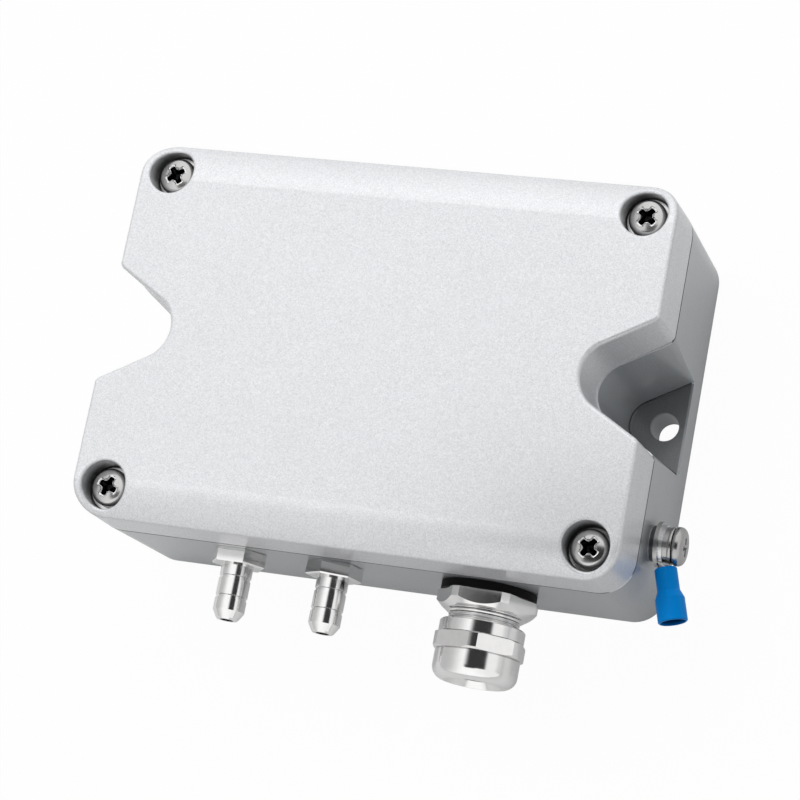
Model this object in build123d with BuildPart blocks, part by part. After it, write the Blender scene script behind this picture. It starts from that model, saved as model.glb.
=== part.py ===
"""Differential pressure transmitter in a die-cast case, lying on its back.

Millimetres, +Z up. The origin is the middle of the two-hole mounting pattern
on the back plane, +X points to the earth terminal, -Y to the ports.
"""

import os
from math import atan2, cos, radians, sin, tan

from build123d import *

# Case
case_x = 115.0
case_y = 80.0
corner_r = 7.0
base_h = 32.0
lid_h = 13.75
wall = 3.5
base_floor = 3.0
back_edge_r = 1.6
rim_bevel = 0.25
base_taper = 1.0
lid_taper = 1.0
lid_roof = 2.8
crown_r = 12.0
crown_drop = 3.4
lid_edge_r = 0.8
total_h = base_h + lid_h
half_x = case_x / 2
half_y = case_y / 2

# Mounting notches
mount_x = 52.5
mount_hole_r = 3.0
flange_h = 9.0
notch_ref_x = 50.5
notch_ref_half = 8.2
notch_tip_x = 43.4
notch_flare = 30.0
notch_lid_taper = 1.0
notch_base_taper = 3.0
notch_base_inset = 0.5
notch_mouth_r = 2.5
notch_foot_r = 0.4
notch_reach = 10.0

# Cavity, seal and bosses
cavity_r = 3.0
boss_x = 43.5
boss_y = 27.5
groove_inset = 0.75
groove_w = 2.0
groove_d = 1.2
gasket_gap = 0.3

# Lid screws, M4 pan heads in deep counterbores
screw_x = 50.5
screw_y = 33.4
m4_r = 2.0
thread_gap = 0.03
m4_clear_r = 2.15
bore_r = 4.75
bore_d = 6.2
bore_rim_r = 0.5
washer_r = 4.5
washer_t = 0.8
lid_screw_l = 16.0
lid_thread_d = 13.0
head_r = 3.9
head_h = 3.1
lid_cross_turns = (36.0, 53.0, 68.0, 54.0)

# Cross recess
cross_w = 1.2
cross_l = 4.4
cross_d = 2.3
cross_core_r = 1.25

# Small cuts on edges, and the run along a hexagon's face for each millimetre of bevel
edge_cut = 0.3
small_cut = 0.2
hex_bevel = 0.35
bevel_run = 1.8

# Hose ports
port_xs = (-26.9, -6.0)
port_z = 24.5
port_turns = (0.0, 40.0)
port_thread_r = 3.5
port_hex_af = 10.0
port_hex_h = 2.15
port_root_r = 3.05
port_crest_r = 3.25
port_len = 12.0
port_land_ends = (3.0, 7.1, 10.2)
port_groove_w = 0.7
port_groove_step = 0.15
port_tip_r = 2.35
port_bore_r = 1.35
port_inner_r = 1.95
port_inner_l = 8.0
port_seal_t = 0.8
port_seal_r = 5.3
port_nut_h = 3.0
port_nut_spare = 1.0
port_nut_af = 11.0

# Cable gland
gland_x = 25.7
gland_z = 20.5
gland_af = 18.5
gland_corner_r = 10.2
gland_hex_h = 3.2
gland_turn = 53.6
gland_bevel = 1.2
gland_bevel_run = 1.05
gland_shoulder_r = 7.5
gland_shoulder_h = 1.0
gland_tail_cut = 0.6
gland_tail_spare = 1.5
gland_entry_r = 8.0
gland_seal_r = 9.7
gland_seal_t = 1.7
gland_neck_r = 7.2
gland_neck_l = 9.2
gland_bore_r = 4.8
gland_pocket_r = 6.5
gland_pocket_d = 6.0
locknut_af = 19.0
locknut_h = 4.0
locknut_bevel = 0.5
nut_gap = 2.6
nut_collar_r = 8.65
nut_collar_h = 2.8
nut_af = 17.3
nut_corner_r = 9.5
nut_hex_h = 3.25
nut_turn = 22.5
nut_dome_r = 8.6
nut_end = 14.45
nut_round_r = 2.6
nut_mouth_r = 4.6
nut_sink = 1.3
nut_lip_t = 2.15
cage_wall = 1.1
cage_run = 0.1
nut_run = 0.08
nut_cone = 0.6
cage_fingers = 6
cage_slot_w = 1.4
cage_finger_l = 2.6
rubber_bore_r = 3.0
rubber_l = 7.6

# Earth terminal
earth_y = -26.9
earth_z = 22.0
earth_boss_r = 3.6
earth_boss_h = 1.1
earth_pad_r = 4.6
earth_pad_l = 4.6
earth_washer_r = 4.5
earth_washer_t = 0.8
spring_r = 3.6
spring_t = 1.0
spring_gap = 0.9
spring_turn = 25.0
earth_screw_l = 10.0
earth_spare = 1.0
earth_cross_turn = 20.0
lug_r = 3.9
lug_t = 0.8
lug_hole_r = 2.1
lug_reach = 4.0
lug_neck_w = 3.2
lug_lean = 17.5
crimp_x = 60.85
crimp_y = -31.55
crimp_out_r = 1.75
crimp_in_r = 1.15
crimp_l = 5.6
crimp_floor = 0.4
sleeve_small_r = 2.25
sleeve_big_r = 2.95
sleeve_straight = 4.6
sleeve_flare = 1.6
sleeve_l = 10.9
sleeve_wall = 0.45
sleeve_gap = 0.03

# Circuit board and what it carries
board_w = 76.0
board_y0 = -28.0
board_y1 = 33.0
board_t = 1.6
board_r = 2.0
standoff_h = 6.0
standoff_r = 3.4
standoff_xs = (-34.0, 34.0)
standoff_ys = (-24.0, 29.0)
m3_r = 1.5
m3_clear_r = 1.7
m3_head_r = 2.8
m3_head_h = 2.2
board_screw_l = 6.0
board_cross_turn = 15.0
board_cross_scale = 0.72
sensor_w = 22.0
sensor_y0 = -2.0
sensor_y1 = 16.0
sensor_h = 12.0
sensor_lid_h = 2.0
sensor_stub_pitch = 10.0
sensor_stub_z = 7.0
sensor_stub_l = 7.0
sensor_edge_r = 1.0
sensor_lid_in = 1.5
sensor_lid_slope = 20.0
sensor_well = 3.0
tube_in_r = 2.0
tube_out_r = 3.2
tube_lead = 7.5
tube_clear = 0.6
pin_w = 0.64
pin_below = 2.0
pin_pitch = 2.54
pin_inset = 2.5
pin_start = 3.0
block_x = 24.5
block_y = -15.5
block_w = 20.4
block_dy = 9.0
block_h = 10.5
block_pitch = 5.0
block_back_step = 2.5
block_front_step = 1.5
block_top_in = 2.0
block_poles = 4
block_screw_r = 1.5
block_screw_l = 4.4
block_screw_d = 6.9
block_slot_w = 0.6
block_slot_d = 0.9
block_slot_turn = 35.0
block_well_r = 1.55
block_mouth_h = 4.0
block_mouth_low = 1.2
block_mouth_w = 3.9
clamp_w = 3.3
clamp_l = 4.5
clamp_t = 0.7
clamp_lip = 1.2
clamp_back = 1.0
switch_x = 6.0
switch_y = 22.0
switch_w = 6.0
switch_h = 3.6
button_r = 1.7
button_h = 1.4
button_sink = 0.8
button_gap = 0.05
button_room = 0.4
chip_x = 22.0
chip_y = 8.0
chip_w = 7.5
chip_l = 10.3
chip_h = 2.3
chip_lift = 0.15
chip_edge = 0.25
leg_w = 0.4
leg_t = 0.2
leg_top = 1.0
leg_out = 1.6
leg_pitch = 1.27
legs_a_side = 8
cap_r = 3.15
cap_h = 7.2
cap_edge_r = 0.5
cap_xs = (14.0, 24.0)
cap_y = 27.0
small_l = 3.0
small_w = 2.2
small_h = 1.1
small_edge = 0.15
small_xs = (6.0, 12.0)
small_ys = (-4.0, 4.0, 12.0)
res_l = 2.0
res_w = 1.25
res_h = 0.55
res_xs = (30.0, 33.0)
res_ys = (-4.0, 0.0, 4.0, 8.0, 12.0, 16.0)

# Levels that follow from the sizes above
board_z = base_floor + standoff_h
deck_z = board_z + board_t
seat_z = total_h - bore_d
inner_x = half_x - wall
inner_y = half_y - wall
flare = tan(radians(notch_flare))
port_mid_x = sum(port_xs) / 2


def turned(*points):
    """Return the solid turned about Z from a closed profile of (radius, height) points."""
    with BuildPart() as turning:
        with BuildSketch(Plane.XZ):
            with BuildLine():
                Polyline(*points, close=True)
            make_face()
        revolve(axis=Axis.Z)
    return turning.part


def hexagon(across, height, turn, top_bevel=0.0, foot_bevel=0.0, run=bevel_run, corner=None):
    """Return a hexagon block with its corners turned down at one or both ends, or all along."""
    tip = corner or across / 2 / cos(radians(30))
    low = [(tip, 0)]
    high = [(tip, height)]
    if foot_bevel:
        low = [(tip - foot_bevel * run, 0), (tip, foot_bevel)]
    if top_bevel:
        high = [(tip, height - top_bevel), (tip - top_bevel * run, height)]
    with BuildPart() as block:
        with BuildSketch():
            RegularPolygon(across / 2, 6, major_radius=False, rotation=turn)
        extrude(amount=height)
        with BuildSketch(Plane.XZ):
            with BuildLine():
                Polyline((0, 0), *low, *high, (0, height), close=True)
            make_face()
        revolve(axis=Axis.Z, mode=Mode.INTERSECT)
    return block.part


def ring(outer, inner, height):
    """Return a plain ring standing on Z = 0."""
    return turned((inner, 0), (outer, 0), (outer, height), (inner, height))


def cross_screw(shank_r, length, radius, height, turn, scale=1.0):
    """Return a pan head screw with a cross recess, its head seated at Z = 0."""
    deep = cross_d * scale
    mouth_r = cross_l * scale / 2
    core_r = cross_core_r * scale
    with BuildPart() as recess:
        with BuildSketch(Plane.XY.offset(height - deep)):
            Rectangle(cross_l * scale, cross_w * scale, rotation=turn)
            Rectangle(cross_w * scale, cross_l * scale, rotation=turn)
        extrude(amount=deep + 1)
        with BuildSketch(Plane.XZ):
            with BuildLine():
                Polyline(
                    (0, height - deep),
                    (mouth_r * 0.3, height - deep),
                    (mouth_r * 0.85, height - deep * 0.4),
                    (mouth_r, height),
                    (mouth_r, height + 1),
                    (0, height + 1),
                    close=True,
                )
            make_face()
        revolve(axis=Axis.Z, mode=Mode.INTERSECT)
        add(
            turned(
                (0, height - deep),
                (core_r * 0.4, height - deep),
                (core_r, height),
                (core_r, height + 1),
                (0, height + 1),
            )
        )
    with BuildPart() as screw:
        with BuildSketch(Plane.XZ):
            with BuildLine():
                Line((0, height), (0, -length))
                Line((0, -length), (shank_r - 0.5, -length))
                Line((shank_r - 0.5, -length), (shank_r, -length + 0.5))
                Line((shank_r, -length + 0.5), (shank_r, 0))
                Line((shank_r, 0), (radius, 0))
                Line((radius, 0), (radius, height * 0.435))
                ThreePointArc(
                    (radius, height * 0.435),
                    (radius * 0.933, height * 0.688),
                    (radius * 0.757, height * 0.839),
                )
                ThreePointArc(
                    (radius * 0.757, height * 0.839),
                    (radius * 0.379, height * 0.961),
                    (0, height),
                )
            make_face()
        revolve(axis=Axis.Z)
        add(recess.part, mode=Mode.SUBTRACT)
    return screw.part


def placed(solid, spot):
    """Return one body set at a plane or point."""
    with BuildPart() as body:
        with Locations(spot):
            add(solid)
    return body.part


def repeated(solid, spots):
    """Return a group of equal bodies, one at each spot."""
    return Compound(children=[placed(solid, spot) for spot in spots])


def wall_plane(x, z, out=0.0):
    """Return the plane on the ports' wall, looking outward."""
    return Plane(origin=(x, -half_y - out, z), x_dir=(1, 0, 0), z_dir=(0, -1, 0))


def side_plane(out=0.0):
    """Return the earth terminal's plane on its boss, looking outward."""
    face_x = half_x + earth_boss_h
    return Plane(origin=(face_x + out, earth_y, earth_z), x_dir=(0, 1, 0), z_dir=(1, 0, 0))


def mirrored_points(points):
    """Return a whole outline from the points of its first quarter."""
    first = list(points)
    second = [(-x, y) for x, y in reversed(first)]
    upper = first + second
    return upper + [(-x, -y) for x, y in upper]


def cavity_outline(grow=0.0):
    """Draw the case's inner outline, grown outward by a wall share."""
    neck_x = notch_tip_x - wall
    flank = notch_ref_half + wall / cos(radians(notch_flare))
    side_y = flank + (inner_x - notch_ref_x) * flare
    quarter = (
        (neck_x, side_y - (inner_x - neck_x) * flare),
        (inner_x, side_y),
        (inner_x, boss_y),
        (boss_x, boss_y),
        (boss_x, inner_y),
    )
    with BuildSketch(mode=Mode.PRIVATE) as outline:
        Polygon(*mirrored_points(quarter), align=None)
        fillet(outline.vertices(), cavity_r)
        if grow:
            offset(amount=grow)
    return outline.sketch


def screw_spots(z):
    """Return the four lid screw positions at one level."""
    return [(sx * screw_x, sy * screw_y, z) for sy in (1, -1) for sx in (-1, 1)]


# Both notches as one cutter: funnels that narrow toward the back, more so in the base
apex_x = notch_ref_x - notch_ref_half / flare
arc_x = (notch_tip_x - apex_x * sin(radians(notch_flare))) / (1 - sin(radians(notch_flare)))
notch_arc_r = arc_x - notch_tip_x
notch_steps = (
    (total_h, lid_h, 0.0, notch_lid_taper),
    (base_h, base_h - flange_h, notch_base_inset, notch_base_taper),
)
with BuildPart() as notches:
    for side in (1, -1):
        for level, depth, inset, taper in notch_steps:
            tip_x = apex_x + inset / sin(radians(notch_flare))
            mouth_y = (half_x - tip_x) * flare
            quarter = [(half_x, mouth_y), (half_x, mouth_y + notch_reach)]
            quarter.append((half_x + notch_reach, mouth_y + notch_reach))
            funnel = [(tip_x, 0)] + quarter + [(x, -y) for x, y in reversed(quarter)]
            with BuildSketch(Plane(origin=(0, 0, level), z_dir=(0, 0, -1))) as mouth:
                Polygon(*[(side * x, y) for x, y in funnel], align=None)
                inward = mouth.vertices().sort_by(lambda v: abs(v.X))
                fillet(inward[0], notch_arc_r - inset)
                corners = mouth.vertices().filter_by(lambda v: abs(abs(v.X) - half_x) < 0.01)
                fillet(corners.filter_by(lambda v: abs(v.Y) < mouth_y + 1), notch_mouth_r)
            extrude(amount=depth, taper=taper)
    fillet(notches.faces().filter_by(Axis.Z).group_by(Axis.Z)[0].edges(), notch_foot_r)

# Base
with BuildPart() as base:
    with BuildSketch(Plane(origin=(0, 0, base_h), z_dir=(0, 0, -1))):
        RectangleRounded(case_x, case_y, corner_r)
    extrude(amount=base_h, taper=base_taper)
    chamfer(base.faces().sort_by(Axis.Z)[-1].edges(), rim_bevel)
    fillet(base.faces().sort_by(Axis.Z)[0].edges(), back_edge_r)
    add(notches.part, mode=Mode.SUBTRACT)
    with BuildSketch(Plane.XY.offset(base_floor)):
        add(cavity_outline())
    extrude(amount=base_h - base_floor, mode=Mode.SUBTRACT)
    with BuildSketch(Plane.XY.offset(base_floor)):
        with Locations(*[(x, y) for x in standoff_xs for y in standoff_ys]):
            Circle(standoff_r)
    extrude(amount=standoff_h)
    with BuildSketch(side_plane(-earth_boss_h - wall - earth_pad_l)):
        Circle(earth_pad_r)
    extrude(amount=earth_pad_l + wall / 2)
    with BuildSketch(side_plane(-earth_boss_h - wall / 2)):
        Circle(earth_boss_r)
    extrude(amount=wall / 2 + earth_boss_h)
    with Locations(*screw_spots(base_h)):
        Hole(m4_r + thread_gap, depth=lid_thread_d)
    with Locations(*[(x, y, board_z) for x in standoff_xs for y in standoff_ys]):
        Hole(m3_r + thread_gap, depth=board_screw_l)
    with Locations(*[(side * mount_x, 0, flange_h) for side in (1, -1)]):
        Hole(mount_hole_r, depth=flange_h)
    with Locations(*[wall_plane(x, port_z) for x in port_xs]):
        Hole(port_thread_r + thread_gap, depth=wall + 1)
    with Locations(wall_plane(gland_x, gland_z)):
        Hole(gland_entry_r + thread_gap, depth=wall + 1)
    with Locations(side_plane()):
        Hole(m4_r + thread_gap, depth=earth_screw_l)

# Lid
with BuildPart() as lid:
    with BuildSketch(Plane.XY.offset(base_h)):
        RectangleRounded(case_x, case_y, corner_r)
    extrude(amount=lid_h, taper=lid_taper)
    chamfer(lid.faces().sort_by(Axis.Z)[0].edges(), rim_bevel)
    crown_y = half_y - (2 * crown_r * crown_drop - crown_drop**2) ** 0.5
    for side in (1, -1):
        with BuildSketch(Plane.YZ.offset(-half_x)):
            with BuildLine():
                Line((side * crown_y, total_h), (side * crown_y, total_h + 5))
                Line((side * crown_y, total_h + 5), (side * (crown_y + crown_r), total_h + 5))
                Line(
                    (side * (crown_y + crown_r), total_h + 5),
                    (side * (crown_y + crown_r), total_h - crown_r),
                )
                ThreePointArc(
                    (side * (crown_y + crown_r), total_h - crown_r),
                    (
                        side * (crown_y + crown_r * sin(radians(45))),
                        total_h - crown_r * (1 - cos(radians(45))),
                    ),
                    (side * crown_y, total_h),
                )
            make_face()
        extrude(amount=case_x, mode=Mode.SUBTRACT)
    add(notches.part, mode=Mode.SUBTRACT)
    tops = lid.edges().filter_by(lambda e: e.center().Z > total_h - crown_drop - 1.0)
    outer = tops.filter_by(
        lambda e: not (abs(abs(e.center().Y) - crown_y) < 0.01 and abs(e.center().X) < 1)
    )
    fillet(outer, lid_edge_r)
    with BuildSketch(Plane.XY.offset(base_h)):
        add(cavity_outline())
    extrude(amount=lid_h - lid_roof, mode=Mode.SUBTRACT)
    with BuildSketch(Plane.XY.offset(base_h)):
        add(cavity_outline(groove_inset + groove_w))
        add(cavity_outline(groove_inset), mode=Mode.SUBTRACT)
    extrude(amount=groove_d, mode=Mode.SUBTRACT)
    with Locations(*screw_spots(total_h)):
        CounterBoreHole(m4_clear_r, bore_r, bore_d, depth=lid_h)
    rims = lid.edges().filter_by(lambda e: e.center().Z > total_h - crown_drop)
    rims = rims.filter_by(
        lambda e: abs(e.center().X) > screw_x - bore_r and abs(e.center().Y) > screw_y - bore_r - 1
    )
    near = [
        e
        for e in rims
        if all(
            abs(((abs(p.X) - screw_x) ** 2 + (abs(p.Y) - screw_y) ** 2) ** 0.5 - bore_r) < 0.01
            for p in (e @ 0, e @ 0.5, e @ 1)
        )
    ]
    fillet(near, bore_rim_r)

# Seal between lid and base
with BuildPart() as gasket:
    with BuildSketch(Plane.XY.offset(base_h)):
        add(cavity_outline(groove_inset + groove_w - gasket_gap))
        add(cavity_outline(groove_inset + gasket_gap), mode=Mode.SUBTRACT)
    extrude(amount=groove_d)

# Hose port: barbed outside, threaded through the wall, plain stub inside
port_stub = wall + port_seal_t + port_nut_h + port_nut_spare
port_profile = [
    (port_bore_r, -port_stub - port_inner_l),
    (port_inner_r - edge_cut, -port_stub - port_inner_l),
    (port_inner_r, -port_stub - port_inner_l + edge_cut),
    (port_inner_r, -port_stub),
    (port_thread_r, -port_stub),
    (port_thread_r, port_hex_h / 2),
    (port_crest_r, port_hex_h / 2),
]
land_start = 0.0
for land_end in port_land_ends:
    port_profile.append((port_crest_r, port_hex_h + land_start))
    port_profile.append((port_crest_r, port_hex_h + land_end))
    land_start = land_end + port_groove_w
    if land_end < port_land_ends[-1]:
        port_profile.append((port_root_r, port_hex_h + land_end + port_groove_step))
        port_profile.append((port_root_r, port_hex_h + land_start))
port_profile += [
    (port_tip_r, port_hex_h + port_len - edge_cut),
    (port_tip_r - edge_cut, port_hex_h + port_len),
    (port_bore_r, port_hex_h + port_len),
]
port_turning = turned(*port_profile)


def hose_port(turn):
    """Return one hose port with its hexagon turned by an angle."""
    hexed = hexagon(port_hex_af, port_hex_h, turn, top_bevel=hex_bevel)
    with BuildPart() as port:
        add(port_turning)
        add(hexed)
        with Locations((0, 0, port_hex_h)):
            Hole(port_bore_r, depth=port_hex_h + port_stub)
    return port.part


ports = [
    placed(hose_port(turn), wall_plane(x, port_z)) for x, turn in zip(port_xs, port_turns)
]
port_seal = ring(port_seal_r, port_thread_r + gasket_gap, port_seal_t)
port_seals = [placed(port_seal, wall_plane(x, port_z, -wall - port_seal_t)) for x in port_xs]
with BuildPart() as port_nut_blank:
    add(hexagon(port_nut_af, port_nut_h, 0, top_bevel=hex_bevel, foot_bevel=hex_bevel))
    with Locations((0, 0, port_nut_h)):
        Hole(port_thread_r + thread_gap, depth=port_nut_h)
port_nuts = [
    placed(port_nut_blank.part, wall_plane(x, port_z, -wall - port_seal_t - port_nut_h))
    for x in port_xs
]

# Cable gland
gland_wall = wall_plane(gland_x, gland_z)
gland_face = wall_plane(gland_x, gland_z, gland_seal_t)
gland_ring = placed(ring(gland_seal_r, gland_entry_r + gasket_gap, gland_seal_t), gland_wall)
gland_tail = wall + gland_seal_t + locknut_h + gland_tail_spare
pocket_floor = gland_hex_h + gland_neck_l - gland_pocket_d
with BuildPart() as gland_body:
    add(
        hexagon(
            gland_af,
            gland_hex_h,
            gland_turn,
            top_bevel=gland_bevel,
            run=gland_bevel_run,
            corner=gland_corner_r,
        )
    )
    add(
        turned(
            (0, 0),
            (gland_corner_r - gland_bevel * gland_bevel_run, gland_hex_h),
            (gland_shoulder_r, gland_hex_h + gland_shoulder_h),
            (gland_neck_r, gland_hex_h + gland_shoulder_h + edge_cut),
            (0, gland_hex_h + gland_shoulder_h + edge_cut),
        )
    )
    add(
        turned(
            (0, -gland_tail),
            (gland_entry_r - gland_tail_cut, -gland_tail),
            (gland_entry_r, -gland_tail + gland_tail_cut),
            (gland_entry_r, gland_hex_h / 2),
            (gland_neck_r, gland_hex_h / 2),
            (gland_neck_r, gland_hex_h + gland_neck_l - gland_tail_cut),
            (gland_neck_r - gland_tail_cut, gland_hex_h + gland_neck_l),
            (0, gland_hex_h + gland_neck_l),
        )
    )
    with Locations((0, 0, gland_hex_h + gland_neck_l)):
        CounterBoreHole(
            gland_bore_r, gland_pocket_r, gland_pocket_d, depth=gland_tail + gland_hex_h + gland_neck_l
        )
with BuildPart() as locknut:
    add(hexagon(locknut_af, locknut_h, 0, top_bevel=locknut_bevel, foot_bevel=locknut_bevel))
    with Locations((0, 0, locknut_h)):
        Hole(gland_entry_r + thread_gap, depth=locknut_h)

# Dome nut: collar, hexagon and rounded dome round one stepped bore
hex_foot = nut_gap + nut_collar_h
hex_top = hex_foot + nut_hex_h
nut_bore_r = gland_neck_r + nut_run
cage_r = gland_pocket_r - cage_run
cage_top = gland_neck_l + cage_finger_l
with BuildPart() as dome_nut:
    with BuildSketch(Plane.XZ):
        with BuildLine():
            Polyline(
                (0, hex_top - edge_cut),
                (0, nut_gap),
                (nut_collar_r - edge_cut, nut_gap),
                (nut_collar_r, nut_gap + edge_cut),
                (nut_collar_r, hex_foot - small_cut),
                (nut_collar_r - edge_cut, hex_foot),
                (nut_dome_r - edge_cut, hex_foot + small_cut),
                (nut_dome_r - edge_cut, hex_top),
                (nut_dome_r, hex_top + edge_cut),
                (nut_dome_r, nut_end - nut_round_r),
            )
            ThreePointArc(
                (nut_dome_r, nut_end - nut_round_r),
                (
                    nut_dome_r - nut_round_r * (1 - cos(radians(45))),
                    nut_end - nut_round_r * (1 - sin(radians(45))),
                ),
                (nut_dome_r - nut_round_r, nut_end),
            )
            Polyline((nut_dome_r - nut_round_r, nut_end), (0, nut_end), (0, hex_top - edge_cut))
        make_face()
    revolve(axis=Axis.Z)
    with Locations((0, 0, hex_foot)):
        add(
            hexagon(
                nut_af,
                nut_hex_h,
                nut_turn,
                top_bevel=hex_bevel,
                foot_bevel=small_cut,
                corner=nut_corner_r,
            )
        )
    add(
        turned(
            (0, nut_gap),
            (nut_bore_r, nut_gap),
            (nut_bore_r, cage_top - nut_cone),
            (cage_r + edge_cut, cage_top + nut_cone),
            (nut_mouth_r, nut_end - nut_lip_t),
            (0, nut_end - nut_lip_t),
        ),
        mode=Mode.SUBTRACT,
    )
    with Locations((0, 0, nut_end)):
        Hole(nut_mouth_r, depth=nut_lip_t + 0.5)
    lip = dome_nut.edges().filter_by(GeomType.CIRCLE).sort_by(Axis.Z)[-2:]
    chamfer(lip.sort_by(SortBy.RADIUS)[0], nut_sink)
with BuildPart() as cage:
    add(ring(cage_r, cage_r - cage_wall, gland_pocket_d + cage_finger_l))
    with BuildSketch(Plane.XY.offset(gland_pocket_d)):
        with PolarLocations(cage_r, cage_fingers):
            Rectangle(cage_wall * 4, cage_slot_w)
    extrude(amount=cage_finger_l, mode=Mode.SUBTRACT)
cage_spot = wall_plane(gland_x, gland_z, gland_seal_t + pocket_floor)
rubber = ring(cage_r - cage_wall - gasket_gap, rubber_bore_r, rubber_l)

# Earth terminal
lug_out = earth_washer_t
spring_out = lug_out + lug_t
head_out = spring_out + spring_t
with BuildPart() as spring_washer:
    add(ring(spring_r, m4_clear_r, spring_t))
    with BuildSketch():
        with Locations((spring_r, 0)):
            Rectangle(spring_r * 2, spring_gap, rotation=spring_turn)
    extrude(amount=spring_t, mode=Mode.SUBTRACT)

# Ring lug: tongue flat on the washer, crimp barrel leaning away from the wall
tongue_end = Plane(
    origin=(half_x + earth_boss_h + lug_out + lug_t / 2, earth_y - lug_reach, earth_z),
    x_dir=(0, 0, 1),
    z_dir=(0, -1, 0),
)
crimp_plane = Plane(
    origin=(crimp_x, crimp_y, earth_z),
    x_dir=(0, 0, 1),
    z_dir=(sin(radians(lug_lean)), -cos(radians(lug_lean)), 0),
)
with BuildPart() as lug:
    with BuildSketch(side_plane(lug_out)):
        Circle(lug_r)
        with Locations((-lug_reach / 2, 0)):
            Rectangle(lug_reach, lug_neck_w)
        Circle(lug_hole_r, mode=Mode.SUBTRACT)
    extrude(amount=lug_t)
    with BuildSketch(tongue_end):
        Rectangle(lug_neck_w, lug_t)
    with BuildSketch(crimp_plane):
        Circle(crimp_out_r)
    loft()
    with BuildSketch(crimp_plane):
        Circle(crimp_out_r)
    extrude(amount=crimp_l)
    with BuildSketch(crimp_plane.offset(crimp_l)):
        Circle(crimp_in_r)
    extrude(amount=-crimp_l + crimp_floor, mode=Mode.SUBTRACT)
sleeve_turning = turned(
    (crimp_out_r + sleeve_gap, 0),
    (sleeve_small_r - small_cut, 0),
    (sleeve_small_r, small_cut),
    (sleeve_small_r, sleeve_straight),
    (sleeve_big_r, sleeve_straight + sleeve_flare),
    (sleeve_big_r, sleeve_l - small_cut),
    (sleeve_big_r - small_cut, sleeve_l),
    (sleeve_big_r - sleeve_wall, sleeve_l),
    (sleeve_big_r - sleeve_wall, sleeve_straight + sleeve_flare + edge_cut),
    (crimp_out_r + sleeve_gap, sleeve_straight + 2 * edge_cut),
)

# Circuit board
with BuildPart() as board:
    with BuildSketch(Plane.XY.offset(board_z)):
        with Locations((0, (board_y0 + board_y1) / 2)):
            RectangleRounded(board_w, board_y1 - board_y0, board_r)
    extrude(amount=board_t)
    with Locations(*[(x, y, deck_z) for x in standoff_xs for y in standoff_ys]):
        Hole(m3_clear_r, depth=board_t)
    pin_rows = [
        (port_mid_x + sx * (sensor_w / 2 - pin_inset), sensor_y0 + pin_start + n * pin_pitch, deck_z)
        for sx in (1, -1)
        for n in range(4)
    ]
    with Locations(*pin_rows):
        Hole(pin_w, depth=board_t)
board_screw = cross_screw(
    m3_r, board_screw_l, m3_head_r, m3_head_h, board_cross_turn, scale=board_cross_scale
)
board_screw_spots = [(x, y, deck_z) for x in standoff_xs for y in standoff_ys]

# Sensor with two stubs that look at the ports
stub_xs = (port_mid_x - sensor_stub_pitch / 2, port_mid_x + sensor_stub_pitch / 2)
sensor_mid_y = (sensor_y0 + sensor_y1) / 2
with BuildPart() as sensor:
    with BuildSketch(Plane.XY.offset(deck_z)):
        with Locations((port_mid_x, sensor_mid_y)):
            RectangleRounded(sensor_w, sensor_y1 - sensor_y0, sensor_edge_r)
    extrude(amount=sensor_h)
    with BuildSketch(Plane.XY.offset(deck_z + sensor_h)):
        with Locations((port_mid_x, sensor_mid_y)):
            RectangleRounded(
                sensor_w - 2 * sensor_lid_in, sensor_y1 - sensor_y0 - 2 * sensor_lid_in, sensor_edge_r
            )
    extrude(amount=sensor_lid_h, taper=sensor_lid_slope)
    for x in stub_xs:
        stub_plane = Plane(
            origin=(x, sensor_y0, deck_z + sensor_stub_z), x_dir=(1, 0, 0), z_dir=(0, -1, 0)
        )
        with BuildSketch(stub_plane):
            Circle(port_inner_r)
        extrude(amount=sensor_stub_l)
        with BuildSketch(stub_plane.offset(sensor_stub_l)):
            Circle(port_bore_r)
        extrude(amount=-sensor_stub_l - sensor_well, mode=Mode.SUBTRACT)
with BuildPart() as pin:
    Box(pin_w, pin_w, board_t + pin_below, align=(Align.CENTER, Align.CENTER, Align.MAX))

# Silicone tubes: an S from each port's inner stub to the sensor
tube_start_y = -half_y + port_stub + tube_clear
tube_end_y = sensor_y0 - tube_clear
tube_end_z = deck_z + sensor_stub_z


def sensing_tube(port_x, stub_x):
    """Return one silicone tube, pushed over a port stub and a sensor stub."""
    start = Vector(port_x, tube_start_y, port_z)
    shift = Vector(stub_x - port_x, 0, tube_end_z - port_z)
    run = tube_end_y - tube_start_y
    side = shift.length
    half = run / 2 - tube_lead
    lean = 2 * atan2(side / 2, half)
    bend_r = half / sin(lean)

    def at(along, across):
        return start + Vector(0, along, 0) + shift.normalized() * across

    rise = bend_r * (1 - cos(lean / 2))
    reach = bend_r * sin(lean / 2)
    with BuildPart() as tube:
        with BuildLine() as route:
            Line(at(0, 0), at(tube_lead, 0))
            ThreePointArc(at(tube_lead, 0), at(tube_lead + reach, rise), at(run / 2, side / 2))
            ThreePointArc(
                at(run / 2, side / 2), at(run - tube_lead - reach, side - rise), at(run - tube_lead, side)
            )
            Line(at(run - tube_lead, side), at(run, side))
        for radius, mode in ((tube_out_r, Mode.ADD), (tube_in_r, Mode.SUBTRACT)):
            with BuildSketch(Plane(origin=start, x_dir=(1, 0, 0), z_dir=(0, 1, 0))) as ends:
                Circle(radius)
            sweep(ends.sketch, path=route.line, mode=mode)
    return tube.part


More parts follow.
